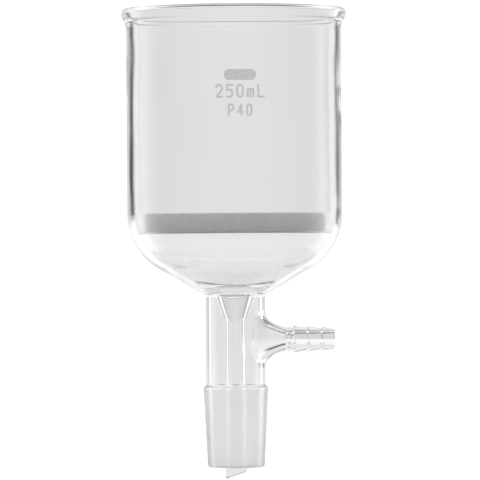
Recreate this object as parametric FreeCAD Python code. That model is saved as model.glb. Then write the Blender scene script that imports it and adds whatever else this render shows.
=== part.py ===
import FreeCAD, Part
import math
import os

# Vacuum filter funnel in blown borosilicate glass: a cylindrical cup with a sintered disc, a rounded
# bowl, a drip stem sealed through a vacuum jacket with a hose barb, and a male ground taper joint.
# Millimetres, +Z up along the axis. The origin is on the axis at the level of the drip tip's point,
# the side arm points along +X and the printed marks face -Y.

# ---- cup and rim ----
CUP_OUTER_D = 80.0
CUP_WALL = 2.5
RIM_STAND_OUT = 1.8       # how far the rim stands out past the cup's wall
RIM_BEAD_D = 3.4          # thickness of the fire-polished bead at the mouth
RIM_FLARE_HEIGHT = 6.0    # height over which the wall flares out to the bead
CUP_HEIGHT = 76.2         # from the top of the disc to the top of the rim

# ---- bowl under the cup ----
BOWL_SHOULDER_R = 24.0    # outside radius of the rounded shoulder
BOWL_CONE_ANGLE = 30.0    # slope of the cone under the shoulder, above the horizontal
BOWL_WALL = 2.5

# ---- sintered disc ----
DISC_MARGIN = 4.1         # width of the clear margin between the porous disc and the wall, at the top
DISC_THICKNESS = 7.2

# ---- ring seal, where bowl, jacket and stem are fused ----
SEAL_FILLET_R = 1.0       # outside fillet between jacket and bowl
SEAL_FUNNEL_ANGLE = 25.0  # slope of the seal's inside, from the bowl down to the stem's bore

# ---- drip stem ----
STEM_OUTER_D = 8.0
STEM_WALL = 1.15
STEM_CONE_GAP = 1.6       # between the top of the cone and the jacket's bore
STEM_CONE_TOP_WALL = 2.2  # the cone's wall thickens towards the seal
STEM_CONE_LENGTH = 9.5
TIP_CUT_ANGLE = 18.0      # slant of the drip tip, above the horizontal
TIP_REACH = 4.3           # from the small end of the ground joint down to the drip tip's point

# ---- ground joint, standard taper 24/29 ----
JOINT_LARGE_D = 24.0
JOINT_LENGTH = 29.0
JOINT_TAPER = 0.1         # change of diameter for each unit of length
JOINT_WALL = 1.8
JOINT_END_ROUND = 0.8
SHOULDER_LENGTH = 1.8

# ---- vacuum jacket ----
JACKET_OUTER_D = 22.2
JACKET_WALL = 1.7
JACKET_LENGTH = 32.6

# ---- side arm ----
ARM_ABOVE_SHOULDER = 16.7  # from the joint's shoulder up to the arm's axis
ARM_BORE_D = 5.2
NECK_ROOT_INSET = 1.8      # how far the neck's root stays inside the jacket's width, on each side
NECK_END_D = 8.4
NECK_LENGTH = 7.5          # outside the jacket
NECK_WALL = 1.9
WELD_LENGTH = 2.6
WELD_BULGE = 0.25          # how far the weld stands out past the neck's end
BARB_COUNT = 3
BARB_PITCH = 5.25
BARB_CREST_D = 9.8
BARB_CREST_STEP = 0.6      # each barb is this much slimmer than the one before
BARB_TAPER = 0.6           # fall of radius along one barb
BARB_RAMP = 0.5            # length of the steep face behind each crest

# ---- printed marks ----
MARK_THICKNESS = 0.12
MARK_OFFSET_X = 2.3
PATCH_WIDTH = 11.7
PATCH_HEIGHT = 4.0
PATCH_ABOVE_DISC = 50.2
CAPACITY_ABOVE_DISC = 44.3
CAPACITY_HEIGHT = 5.0
CAPACITY_WIDTH = 18.0
GRADE_ABOVE_DISC = 37.4
GRADE_HEIGHT = 4.4
GRADE_WIDTH = 9.0
STROKE = 0.7
LETTER_GAP_SHARE = 0.225    # gap between characters, as a share of their height
PATCH_CORNER_R = 1.8
CAPACITY_MARK = "250mL"
GRADE_MARK = "P40"

# Each character is a set of open lines on a cell one unit wide and one unit high.
GLYPHS = {
    "0": [[(0.25, 0), (0.75, 0), (1, 0.2), (1, 0.8), (0.75, 1), (0.25, 1), (0, 0.8), (0, 0.2), (0.25, 0)]],
    "2": [[(0, 0.8), (0.25, 1), (0.75, 1), (1, 0.8), (1, 0.6), (0, 0), (1, 0)]],
    "4": [[(0.75, 0), (0.75, 1), (0, 0.3), (1, 0.3)]],
    "5": [[(1, 1), (0, 1), (0, 0.58), (0.75, 0.58), (1, 0.4), (1, 0.2), (0.75, 0), (0, 0)]],
    "L": [[(0, 1), (0, 0), (1, 0)]],
    "P": [[(0, 0), (0, 1), (0.75, 1), (1, 0.85), (1, 0.6), (0.75, 0.45), (0, 0.45)]],
    "m": [[(0, 0), (0, 0.65), (0.4, 0.65), (0.5, 0.5), (0.5, 0)], [(0.5, 0.65), (0.9, 0.65), (1, 0.5), (1, 0)]],
}

MATCH = 1e-4              # how near a corner or a direction must be to count as the same

# ---- levels and radii that follow from the sizes above ----
ORIGIN = FreeCAD.Vector(0, 0, 0)
X_AXIS = FreeCAD.Vector(1, 0, 0)
Z_AXIS = FreeCAD.Vector(0, 0, 1)
SLOPE = math.radians(BOWL_CONE_ANGLE)

CUP_R = CUP_OUTER_D / 2
RIM_R = CUP_R + RIM_STAND_OUT
DISC_R = CUP_R - BOWL_WALL - DISC_MARGIN
JACKET_R = JACKET_OUTER_D / 2
JACKET_BORE_R = JACKET_R - JACKET_WALL
STEM_R = STEM_OUTER_D / 2
STEM_CONE_TOP_R = JACKET_BORE_R - STEM_CONE_GAP
STEM_CONE_BORE_TOP_R = STEM_CONE_TOP_R - STEM_CONE_TOP_WALL
JOINT_R = JOINT_LARGE_D / 2
JOINT_SMALL_R = JOINT_R - JOINT_LENGTH * JOINT_TAPER / 2

JOINT_FOOT_Z = TIP_REACH
JOINT_TOP_Z = JOINT_FOOT_Z + JOINT_LENGTH
JACKET_FOOT_Z = JOINT_TOP_Z + SHOULDER_LENGTH
JACKET_TOP_Z = JACKET_FOOT_Z + JACKET_LENGTH
ARM_Z = JACKET_FOOT_Z + ARM_ABOVE_SHOULDER

SEAL_TANGENT = SEAL_FILLET_R * math.tan(math.radians(90 - BOWL_CONE_ANGLE) / 2)
CONE_FOOT_Z = JACKET_TOP_Z + SEAL_TANGENT           # where cone and jacket outsides would cross
SEAL_EDGE = (JACKET_R + SEAL_TANGENT * math.cos(SLOPE), CONE_FOOT_Z + SEAL_TANGENT * math.sin(SLOPE))
SEAL_INNER_EDGE = (SEAL_EDGE[0] - BOWL_WALL * math.sin(SLOPE), SEAL_EDGE[1] + BOWL_WALL * math.cos(SLOPE))

SHOULDER_CENTRE_R = CUP_R - BOWL_SHOULDER_R
BOWL_TOP_Z = CONE_FOOT_Z + (
    BOWL_SHOULDER_R + math.sin(SLOPE) * (SHOULDER_CENTRE_R - JACKET_R)) / math.cos(SLOPE)
DISC_TOP_Z = BOWL_TOP_Z
DISC_FOOT_Z = DISC_TOP_Z - DISC_THICKNESS
RIM_TOP_Z = DISC_TOP_Z + CUP_HEIGHT
RIM_BEAD_Z = RIM_TOP_Z - RIM_BEAD_D / 2
FLARE_FOOT_Z = RIM_BEAD_Z - RIM_FLARE_HEIGHT

STEM_TOP_Z = SEAL_INNER_EDGE[1] - math.tan(math.radians(SEAL_FUNNEL_ANGLE)) * (
    SEAL_INNER_EDGE[0] - STEM_CONE_BORE_TOP_R)
STEM_CONE_FOOT_Z = STEM_TOP_Z - STEM_CONE_LENGTH

NECK_ROOT_R = JACKET_R - NECK_ROOT_INSET
NECK_END_X = JACKET_R + NECK_LENGTH
WELD_END_X = NECK_END_X + WELD_LENGTH
ARM_REACH = WELD_END_X + BARB_COUNT * BARB_PITCH


def point(r, z):
    """A point of a profile: distance from the axis, height."""
    return FreeCAD.Vector(r, 0, z)


def lines(*corners):
    """Straight edges from corner to corner."""
    return [Part.makeLine(point(*a), point(*b)) for a, b in zip(corners, corners[1:])]


def arc_from_vertical(start, end):
    """An arc that leaves start along the axis and ends at end."""
    dr, dz = end[0] - start[0], end[1] - start[1]
    radius = (dr * dr + dz * dz) / (2 * abs(dr))
    half = math.atan2(abs(dz), radius - abs(dr)) / 2
    middle = (start[0] + math.copysign(radius * (1 - math.cos(half)), dr),
              start[1] + math.copysign(radius * math.sin(half), dz))
    return Part.Arc(point(*start), point(*middle), point(*end)).toShape()


def reverse_curve(start, end):
    """Two equal arcs that leave start and reach end along the axis."""
    middle = ((start[0] + end[0]) / 2, (start[1] + end[1]) / 2)
    return [arc_from_vertical(start, middle), arc_from_vertical(end, middle)]


def turned(edges, axis=Z_AXIS, centre=ORIGIN):
    """The solid of a closed profile turned about an axis."""
    wire = Part.Wire(Part.__sortEdges__(edges))
    solid = Part.Face(wire).revolve(centre, axis, 360)
    if solid.Volume < 0:
        solid.reverse()
    return solid


def cup_wall():
    """Straight tube whose mouth flares out into a round bead."""
    inner_r = CUP_R - CUP_WALL
    outer_edge = (RIM_R, RIM_BEAD_Z)
    inner_edge = (RIM_R - RIM_BEAD_D, RIM_BEAD_Z)
    crown = (RIM_R - RIM_BEAD_D / 2, RIM_TOP_Z)
    edges = lines((inner_r, FLARE_FOOT_Z), (inner_r, DISC_TOP_Z), (CUP_R, DISC_TOP_Z), (CUP_R, FLARE_FOOT_Z))
    edges += reverse_curve((CUP_R, FLARE_FOOT_Z), outer_edge)
    edges += [arc_from_vertical(outer_edge, crown), arc_from_vertical(inner_edge, crown)]
    edges += reverse_curve((inner_r, FLARE_FOOT_Z), inner_edge)
    return turned(edges)


def shoulder_foot(offset):
    """The point where the shoulder's arc runs into the cone, inside the outer surface by offset."""
    radius = BOWL_SHOULDER_R - offset
    return (SHOULDER_CENTRE_R + radius * math.sin(SLOPE), BOWL_TOP_Z - radius * math.cos(SLOPE))


def bowl_inside():
    """Everything inside the bowl's wall, from the ring seal up to the disc's top, as one solid."""
    top = (CUP_R - BOWL_WALL, BOWL_TOP_Z)
    foot = shoulder_foot(BOWL_WALL)
    edges = lines(foot, SEAL_INNER_EDGE, (0, SEAL_INNER_EDGE[1]), (0, BOWL_TOP_Z), top)
    edges += [arc_from_vertical(top, foot)]
    return turned(edges)


def lower_bowl():
    """Rounded shoulder and cone from the cup down to the ring seal."""
    outer_top = (CUP_R, BOWL_TOP_Z)
    inner_top = (CUP_R - BOWL_WALL, BOWL_TOP_Z)
    outer_foot = shoulder_foot(0)
    inner_foot = shoulder_foot(BOWL_WALL)
    edges = lines(outer_top, inner_top) + [arc_from_vertical(inner_top, inner_foot)]
    edges += lines(inner_foot, SEAL_INNER_EDGE, SEAL_EDGE, outer_foot) + [arc_from_vertical(outer_top, outer_foot)]
    return turned(edges)


def fritted_disc():
    """Porous disc of sintered glass grains."""
    return Part.makeCylinder(DISC_R, DISC_THICKNESS, point(0, DISC_FOOT_Z))


def disc_edge_seal():
    """Clear fused margin that joins the porous disc to the bowl's wall."""
    slab = Part.makeCylinder(CUP_R, DISC_THICKNESS, point(0, DISC_FOOT_Z))
    return bowl_inside().common(slab).cut(fritted_disc())


def ring_seal():
    """Fused ring that joins bowl, vacuum jacket and drip stem."""
    jacket_outer = (JACKET_R, JACKET_TOP_Z)
    jacket_inner = (JACKET_BORE_R, JACKET_TOP_Z)
    stem_outer = (STEM_CONE_TOP_R, STEM_TOP_Z)
    stem_inner = (STEM_CONE_BORE_TOP_R, STEM_TOP_Z)
    edges = [arc_from_vertical(jacket_outer, SEAL_EDGE)]
    edges += lines(SEAL_EDGE, SEAL_INNER_EDGE, stem_inner, stem_outer)
    edges += [arc_from_vertical(jacket_inner, stem_outer)]
    edges += lines(jacket_inner, jacket_outer)
    return turned(edges)


def drip_stem():
    """Inner tube that carries the filtrate, flared at the top and cut on a slant at the tip."""
    bore_r = STEM_R - STEM_WALL
    tube = turned(lines((STEM_R, 0), (STEM_R, STEM_CONE_FOOT_Z), (STEM_CONE_TOP_R, STEM_TOP_Z),
                        (STEM_CONE_BORE_TOP_R, STEM_TOP_Z), (bore_r, STEM_CONE_FOOT_Z), (bore_r, 0), (STEM_R, 0)))
    side = 2 * STEM_OUTER_D
    below = Part.makeBox(2 * side, side, side, FreeCAD.Vector(-STEM_R, -side / 2, -side))
    below.rotate(FreeCAD.Vector(-STEM_R, 0, 0), FreeCAD.Vector(0, 1, 0), -TIP_CUT_ANGLE)
    return tube.cut(below)


def ground_joint():
    """Male ground cone with a rounded small end and a shoulder up to the jacket."""
    foot_inner = (JOINT_SMALL_R - JOINT_WALL, JOINT_FOOT_Z)
    foot_outer = (JOINT_SMALL_R, JOINT_FOOT_Z)
    top = (JACKET_R, JACKET_FOOT_Z)
    top_inner = (JACKET_BORE_R, JACKET_FOOT_Z)
    cone = turned(lines(top_inner, foot_inner, foot_outer, (JOINT_R, JOINT_TOP_Z), top, top_inner))
    foot_rings = [e for e in cone.Edges if len(e.Vertexes) == 1 and abs(e.Vertexes[0].Z - JOINT_FOOT_Z) < MATCH]
    return cone.makeFillet(JOINT_END_ROUND, foot_rings)


def arm_profile(stations, bore_r):
    """The solid between a bore and an outline given as (distance from the main axis, radius) pairs."""
    outline = [(stations[0][0], bore_r)] + stations + [(stations[-1][0], bore_r), (stations[0][0], bore_r)]
    edges = lines(*[(x, ARM_Z + r) for x, r in outline])
    return turned(edges, X_AXIS, FreeCAD.Vector(0, 0, ARM_Z))


def neck_solid(root_r, end_r):
    """Trumpet shape from the main axis out to the weld: wide at the jacket, then an arc down to end_r."""
    root = (JACKET_R, ARM_Z + root_r)
    end = (NECK_END_X, ARM_Z + end_r)
    dx, dz = end[0] - root[0], root[1] - end[1]
    radius = (dx * dx + dz * dz) / (2 * dz)
    half = math.atan2(dx, radius - dz) / 2
    middle = (end[0] - radius * math.sin(half), end[1] + radius * (1 - math.cos(half)))
    edges = [Part.Arc(point(*root), point(*middle), point(*end)).toShape()]
    edges += lines(end, (NECK_END_X, ARM_Z), (0, ARM_Z), (0, root[1]), root)
    return turned(edges, X_AXIS, FreeCAD.Vector(0, 0, ARM_Z))


def neck_bore():
    """The vacuum passage through the neck and the jacket's wall."""
    return neck_solid(NECK_ROOT_R - NECK_WALL, ARM_BORE_D / 2)


def vacuum_jacket():
    """Tube round the drip stem, with a side hole for the arm."""
    outer = Part.makeCylinder(JACKET_R, JACKET_LENGTH, point(0, JACKET_FOOT_Z))
    inner = Part.makeCylinder(JACKET_BORE_R, JACKET_LENGTH, point(0, JACKET_FOOT_Z))
    return outer.cut(inner).cut(neck_bore())


def side_neck():
    """Trumpet-shaped neck drawn out between the jacket and the hose barb."""
    saddle = Part.makeCylinder(JACKET_R, RIM_TOP_Z, ORIGIN)
    return neck_solid(NECK_ROOT_R, NECK_END_D / 2).cut(neck_bore()).cut(saddle)


def arm_weld():
    """Ring of fused glass between the neck and the hose barb."""
    end_r = NECK_END_D / 2
    middle_x = (NECK_END_X + WELD_END_X) / 2
    stations = [(NECK_END_X, end_r), (middle_x, end_r + WELD_BULGE), (WELD_END_X, end_r)]
    return arm_profile(stations, ARM_BORE_D / 2)


def hose_barb():
    """Hose end with a row of tapered barbs, slimmer towards the tip."""
    stations = [(WELD_END_X, NECK_END_D / 2)]
    for i in range(BARB_COUNT):
        crest_r = (BARB_CREST_D - i * BARB_CREST_STEP) / 2
        start_x = WELD_END_X + i * BARB_PITCH
        stations.append((start_x + BARB_RAMP, crest_r))
        stations.append((start_x + BARB_PITCH, crest_r - BARB_TAPER))
    return arm_profile(stations, ARM_BORE_D / 2)


def on_cup_front(flat):
    """The part of a flat shape, drawn on the plane Y = 0 and pushed to -Y, that lies on the cup."""
    outer = Part.makeCylinder(CUP_R + MARK_THICKNESS, CUP_HEIGHT, point(0, DISC_TOP_Z))
    inner = Part.makeCylinder(CUP_R, CUP_HEIGHT, point(0, DISC_TOP_Z))
    return flat.common(outer.cut(inner))


def stroke_prism(start, end):
    """A round-ended stroke from start to end, as a prism reaching out through the cup's front."""
    depth = FreeCAD.Vector(0, -2 * CUP_R, 0)
    across = FreeCAD.Vector(end[1] - start[1], 0, start[0] - end[0])
    across = across.normalize() * (STROKE / 2)
    a, b = point(*start), point(*end)
    corners = [a + across, b + across, b - across, a - across, a + across]
    bar = Part.Face(Part.makePolygon(corners)).extrude(depth)
    caps = [Part.makeCylinder(STROKE / 2, 2 * CUP_R, p, FreeCAD.Vector(0, -1, 0)) for p in (a, b)]
    return bar.fuse(caps)


def lettering(text, width, height, centre_z):
    """A row of characters in equal cells, centred on the marks' column."""
    gap = LETTER_GAP_SHARE * height
    cell = (width - gap * (len(text) - 1)) / len(text) - STROKE
    low = centre_z - height / 2 + STROKE / 2
    tall = height - STROKE
    characters = []
    for i, letter in enumerate(text):
        left = MARK_OFFSET_X - width / 2 + STROKE / 2 + i * (cell + STROKE + gap)
        strokes = []
        for path in GLYPHS[letter]:
            spots = [(left + u * cell, low + v * tall) for u, v in path]
            strokes += [stroke_prism(a, b) for a, b in zip(spots, spots[1:])]
        characters.append(on_cup_front(strokes[0].fuse(strokes[1:])).removeSplitter())
    return Part.makeCompound([solid for character in characters for solid in character.Solids])


def blank_patch():
    """Rounded blank patch for writing on."""
    z = DISC_TOP_Z + PATCH_ABOVE_DISC - PATCH_HEIGHT / 2
    corner = FreeCAD.Vector(MARK_OFFSET_X - PATCH_WIDTH / 2, -2 * CUP_R, z)
    slab = Part.makeBox(PATCH_WIDTH, 2 * CUP_R, PATCH_HEIGHT, corner)
    ends = [e for e in slab.Edges if abs(e.tangentAt(e.FirstParameter).y) > 1 - MATCH]
    return on_cup_front(slab.makeFillet(PATCH_CORNER_R, ends))


def capacity_mark():
    """Printed capacity."""
    return lettering(CAPACITY_MARK, CAPACITY_WIDTH, CAPACITY_HEIGHT, DISC_TOP_Z + CAPACITY_ABOVE_DISC)


def grade_mark():
    """Printed pore size class of the disc."""
    return lettering(GRADE_MARK, GRADE_WIDTH, GRADE_HEIGHT, DISC_TOP_Z + GRADE_ABOVE_DISC)


PIECES = [cup_wall, lower_bowl, fritted_disc, disc_edge_seal, ring_seal, drip_stem, vacuum_jacket,
          side_neck, arm_weld, hose_barb, ground_joint, blank_patch, capacity_mark, grade_mark]


def main():
    """Builds every piece and writes it to its own file."""
    os.makedirs("parts", exist_ok=True)
    for piece in PIECES:
        shape = piece()
        shape.exportStep(os.path.join("parts", piece.__name__ + ".step"))
        print(piece.__name__, len(shape.Solids), "solid", round(shape.Volume, 1), shape.isValid(), shape.BoundBox)


main()
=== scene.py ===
import logging
import math
from abc import ABC, abstractmethod
from dataclasses import dataclass
from enum import Enum
from typing import Callable, Optional, Sequence, Union

import bpy
import numpy as np
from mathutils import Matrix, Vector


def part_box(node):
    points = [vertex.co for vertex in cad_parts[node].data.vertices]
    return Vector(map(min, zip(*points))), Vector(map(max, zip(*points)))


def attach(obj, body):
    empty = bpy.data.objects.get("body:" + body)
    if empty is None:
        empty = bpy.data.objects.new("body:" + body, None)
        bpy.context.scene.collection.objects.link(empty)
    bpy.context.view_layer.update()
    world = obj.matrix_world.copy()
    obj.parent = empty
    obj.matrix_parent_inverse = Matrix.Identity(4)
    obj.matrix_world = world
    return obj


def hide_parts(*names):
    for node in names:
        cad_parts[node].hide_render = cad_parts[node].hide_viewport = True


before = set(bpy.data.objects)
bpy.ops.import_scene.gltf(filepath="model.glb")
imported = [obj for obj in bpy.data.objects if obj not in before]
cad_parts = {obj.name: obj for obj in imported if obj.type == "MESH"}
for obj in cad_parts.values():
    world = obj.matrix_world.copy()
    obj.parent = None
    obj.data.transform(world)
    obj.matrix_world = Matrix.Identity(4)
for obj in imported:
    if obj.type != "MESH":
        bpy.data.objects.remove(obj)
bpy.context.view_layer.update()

LOG = logging.getLogger("funnel")
MM = 0.001
BODY = "root"
AROUND_CUP = 384      # points round the cup and its bead
AROUND = 256          # points round the bowl, the disc and the seals
AROUND_SMALL = 192    # points round the stem, the joint and the arm
FLAT_POINTS = 3       # points across a fused face or another short flat run
WELD_GRID = 1e-7      # metres; grid corners nearer than this are one vertex
NO_LENGTH = 1e-16     # a cross product shorter than this has no direction, as at a pole
LEAST_LENGTH = 1e-20  # a length is never divided by less than this

# Sizes in millimetres that two or more pieces share.
GAP = 0.006           # between the faces of fused neighbours: light leaves one before it enters the next
CUP_R = 40.0
CUP_WALL = 2.5
JACKET_R = 11.1
JACKET_BORE_R = 9.4
STEM_TOP_R = 7.8
STEM_BORE_TOP_R = 5.6
BOROSILICATE_IOR = 1.473

Profile = np.ndarray
Grid = np.ndarray
Object = bpy.types.Object
Socket = bpy.types.NodeSocket
Value = Union[float, Socket]


# ---------------- curves


def straight(start: Sequence[float], end: Sequence[float], count: int) -> Profile:
    """Count evenly spaced points from start to end, each a radius and a height in millimetres."""
    share = np.linspace(0.0, 1.0, count)[:, None]
    return (1 - share) * np.array(start, float) + share * np.array(end, float)


def arc_from_vertical(start: Sequence[float], end: Sequence[float], count: int) -> Profile:
    """An arc that leaves start along the axis and ends at end.

    The centre is level with start, and its radius is the squared chord over twice the change of radius.

    Args:
        start: radius and height where the arc is parallel to the axis.
        end: radius and height of its other end.
        count: how many points.

    Returns:
        An array of count rows, radius and height.
    """
    dr, dz = end[0] - start[0], end[1] - start[1]
    radius = (dr * dr + dz * dz) / (2 * abs(dr))
    turn = math.atan2(abs(dz), radius - abs(dr))
    angle = np.linspace(0.0, turn, count)
    r = start[0] + math.copysign(1, dr) * radius * (1 - np.cos(angle))
    z = start[1] + math.copysign(1, dz) * radius * np.sin(angle)
    return np.stack([r, z], axis=1)


def reverse_curve(start: Sequence[float], end: Sequence[float], count: int) -> Profile:
    """Two equal arcs that are parallel to the axis at both ends.

    Args:
        start: radius and height of the first point.
        end: radius and height of the last point.
        count: how many points in each arc.

    Returns:
        The points of both arcs, without a repeated middle.
    """
    middle = ((start[0] + end[0]) / 2, (start[1] + end[1]) / 2)
    first = arc_from_vertical(start, middle, count)
    second = arc_from_vertical(end, middle, count)[::-1]
    return np.concatenate([first, second[1:]])


def joined(*runs: Profile) -> Profile:
    """Profiles as one, where each starts at the last point of the one before."""
    return np.concatenate([runs[0]] + [run[1:] for run in runs[1:]])


def arc_along_arm(start: Sequence[float], end: Sequence[float], count: int) -> Profile:
    """An arc that leaves start along the side arm; its points are distance along the arm and radius."""
    return arc_from_vertical(start[::-1], end[::-1], count)[:, ::-1]


def rounded(corners: Sequence[Sequence[float]], reach: float, count: int = 5, spacing: float = 0.3) -> Profile:
    """A polyline with its inner corners eased.

    Near a corner the line follows a parabola between two points that are reach away from it, or nearly
    half an edge away where the edge is short.

    Args:
        corners: the polyline.
        reach: how far from each corner the easing starts.
        count: points on each eased corner.
        spacing: the most there is between two points.

    Returns:
        The eased line.
    """
    most_of_edge, nearest = 0.45, 1e-4
    spots = np.array(corners, float)
    line = [spots[:1]]
    for before, corner, after in zip(spots, spots[1:], spots[2:]):
        back, on = before - corner, after - corner
        near_back = corner + back * min(most_of_edge, reach / np.linalg.norm(back))
        near_on = corner + on * min(most_of_edge, reach / np.linalg.norm(on))
        t = np.linspace(0, 1, count)[:, None]
        line.append((1 - t) ** 2 * near_back + 2 * t * (1 - t) * corner + t ** 2 * near_on)
    line.append(spots[-1:])
    points = np.concatenate(line)
    lengths = np.concatenate([[0], np.cumsum(np.linalg.norm(np.diff(points, axis=0), axis=1))])
    extra = np.union1d(lengths, np.arange(0, lengths[-1], spacing))
    extra = extra[np.concatenate([[True], np.diff(extra) > nearest])]
    return np.stack([np.interp(extra, lengths, points[:, i]) for i in (0, 1)], axis=1)


def eased(share: np.ndarray) -> np.ndarray:
    """Shares kept within 0 and 1 that start and end gently: 3 s^2 - 2 s^3."""
    share = np.clip(share, 0, 1)
    return share * share * (3 - 2 * share)


# ---------------- surfaces


class Face(Enum):
    """What a face of a glass piece is: its number is the piece's material slot."""

    SKIN = 0
    FUSED = 1
    GROUND = 2


Run = tuple[Profile, Face]


def skin(*profiles: Profile) -> list[Run]:
    """Runs of an outline that lie open to the air."""
    return [(profile, Face.SKIN) for profile in profiles]


def fused(start: Sequence[float], end: Sequence[float]) -> Run:
    """The flat run of an outline where the piece is melted to its neighbour."""
    return straight(start, end, FLAT_POINTS), Face.FUSED


@dataclass
class Patch:
    """One smooth grid of a surface: rows along the profile, columns round it.

    Attributes:
        grid: positions in millimetres.
        face: what its faces are.
        wrap: whether the last column meets the first.
        keep: the columns that have faces, or None for all of them.
        known: normals from the surface's formula, up to their sign, or None.
    """

    grid: Grid
    face: Face = Face.SKIN
    wrap: bool = True
    keep: Optional[np.ndarray] = None
    known: Optional[Grid] = None

    def normals(self) -> Grid:
        """Normals at the grid's points: the change along the rows crossed with the change round them."""
        along = np.gradient(self.grid, axis=0, edge_order=2 if len(self.grid) > 2 else 1)
        if self.wrap:
            across = np.roll(self.grid, -1, axis=1) - np.roll(self.grid, 1, axis=1)
        else:
            across = np.gradient(self.grid, axis=1)
        cross = np.cross(along, across)
        if self.known is not None:
            return self.known * math.copysign(1, float((cross * self.known).sum()))
        length = np.linalg.norm(cross, axis=2, keepdims=True)
        flat = length[..., 0].max(axis=1) < NO_LENGTH
        cross[flat] = cross[np.clip(np.flatnonzero(flat), 1, len(cross) - 2)]
        length = np.linalg.norm(cross, axis=2, keepdims=True)
        return cross / np.maximum(length, LEAST_LENGTH)

    def quads(self) -> tuple[np.ndarray, np.ndarray]:
        """Corner positions and normals of every quad, each as (count, 4, 3)."""
        normals = self.normals()
        rows, columns = self.grid.shape[:2]
        starts = columns if self.wrap else columns - 1
        i, j = np.meshgrid(np.arange(rows - 1), np.arange(starts), indexing="ij")
        if self.keep is not None:
            i, j = i[:, self.keep], j[:, self.keep]
        i, j = i.ravel(), j.ravel()
        after = (j + 1) % columns
        ii, jj = np.stack([i, i + 1, i + 1, i], axis=1), np.stack([j, j, after, after], axis=1)
        return self.grid[ii, jj], normals[ii, jj]


def solid(name: str, patches: Sequence[Patch], finish: Sequence["Finish"]) -> Object:
    """A closed mesh from patches that share their borders.

    Corners that coincide are welded, so seams and poles close. The signed volume, a sixth of the sum of the
    faces' triple products, says whether the surface has to be turned round to face outwards.

    Args:
        name: the piece's name.
        patches: the grids, in order along a closed profile.
        finish: the finishes, in the order of the numbers of Face.

    Returns:
        The piece's object, linked to the scene.
    """
    corners, normals, slots = [], [], []
    for patch in patches:
        c, n = patch.quads()
        corners.append(c)
        normals.append(n)
        slots.append(np.full(len(c), patch.face.value))
    corner, normal, slot = np.concatenate(corners) * MM, np.concatenate(normals), np.concatenate(slots)
    keys = np.round(corner.reshape(-1, 3) / WELD_GRID).astype(np.int64)
    _, first, index = np.unique(keys, axis=0, return_index=True, return_inverse=True)
    vertices = corner.reshape(-1, 3)[first]
    index = index.reshape(-1, 4)
    fan = corner - vertices.mean(axis=0)
    volume = np.einsum("ij,ij->", fan[:, 0], np.cross(fan[:, 1], fan[:, 2]))
    volume += np.einsum("ij,ij->", fan[:, 0], np.cross(fan[:, 2], fan[:, 3]))
    if volume < 0:
        index, normal = index[:, ::-1], -normal[:, ::-1]
    single = index != np.roll(index, 1, axis=1)
    size = single.sum(axis=1)
    whole = size > 2
    single &= whole[:, None]
    index, normal, size, slot = index[single], normal[single], size[whole], slot[whole]
    mesh = bpy.data.meshes.new(name)
    mesh.vertices.add(len(vertices))
    mesh.vertices.foreach_set("co", vertices.ravel())
    mesh.loops.add(len(index))
    mesh.loops.foreach_set("vertex_index", index.astype(np.int32))
    mesh.polygons.add(len(size))
    mesh.polygons.foreach_set("loop_start", (np.cumsum(size) - size).astype(np.int32))
    mesh.polygons.foreach_set("material_index", slot.astype(np.int32))
    mesh.polygons.foreach_set("use_smooth", np.ones(len(size), bool))
    for look in finish:
        mesh.materials.append(look.material())
    mesh.update(calc_edges=True)
    mesh.validate()
    mesh.normals_split_custom_set(normal)
    piece = bpy.data.objects.new(name, mesh)
    bpy.context.scene.collection.objects.link(piece)
    return piece


def turned(profile: Profile, count: int = AROUND, face: Face = Face.SKIN,
           wave: Optional[Callable[[np.ndarray, np.ndarray], np.ndarray]] = None) -> Patch:
    """A profile turned about the main axis.

    x is the radius times the cosine of the angle, y is the radius times its sine. A wave adds a small
    radius that depends on angle and height.

    Args:
        profile: radius and height, in millimetres.
        count: how many points round the axis.
        face: what its faces are.
        wave: the unevenness of hand-worked glass, or None.

    Returns:
        The patch.
    """
    angle = np.linspace(0.0, 2 * math.pi, count, endpoint=False)[None, :]
    r = np.repeat(profile[:, 0:1], count, axis=1)
    z = np.repeat(profile[:, 1:2], count, axis=1)
    if wave is not None:
        r = r + wave(angle, z)
    return Patch(np.stack([r * np.cos(angle), r * np.sin(angle), z], axis=2), face)


def ring(runs: Sequence[Run], count: int = AROUND,
         waves: Optional[dict[int, "Unevenness"]] = None) -> list[Patch]:
    """A closed ring about the main axis, as a patch for each smooth run of its outline.

    Args:
        runs: the outline, end to end round the section.
        count: how many points round the axis.
        waves: the unevenness of each uneven run, by the run's number.

    Returns:
        The patches, in the order of the runs.
    """
    waves = waves or {}
    return [turned(run, count, face, waves.get(i)) for i, (run, face) in enumerate(runs)]


def ring_about_arm(runs: Sequence[Run]) -> list[Patch]:
    """A closed ring about the side arm, along X, from distances along the arm and radii about it."""
    patches = ring([(run[:, ::-1], face) for run, face in runs], AROUND_SMALL)
    for patch in patches:
        patch.grid = patch.grid[..., [2, 0, 1]] + (0, 0, LEVELS.arm)
    return patches


# ---------------- glass unevenness


class Swell(Enum):
    """The sines that uneven glass is made of: size, lobes round the axis, start, sign of phase, pitch."""

    OVAL = (1.0, 2, 0.9, 1, 19.0)
    THREE_SIDED = (0.6, 3, 0.0, -1, -11.0)
    ROLLED = (0.35, 7, 2.1, 0, 7.0)
    DRAWN = (0.25, 0, 0.0, 1, 3.1)


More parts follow.
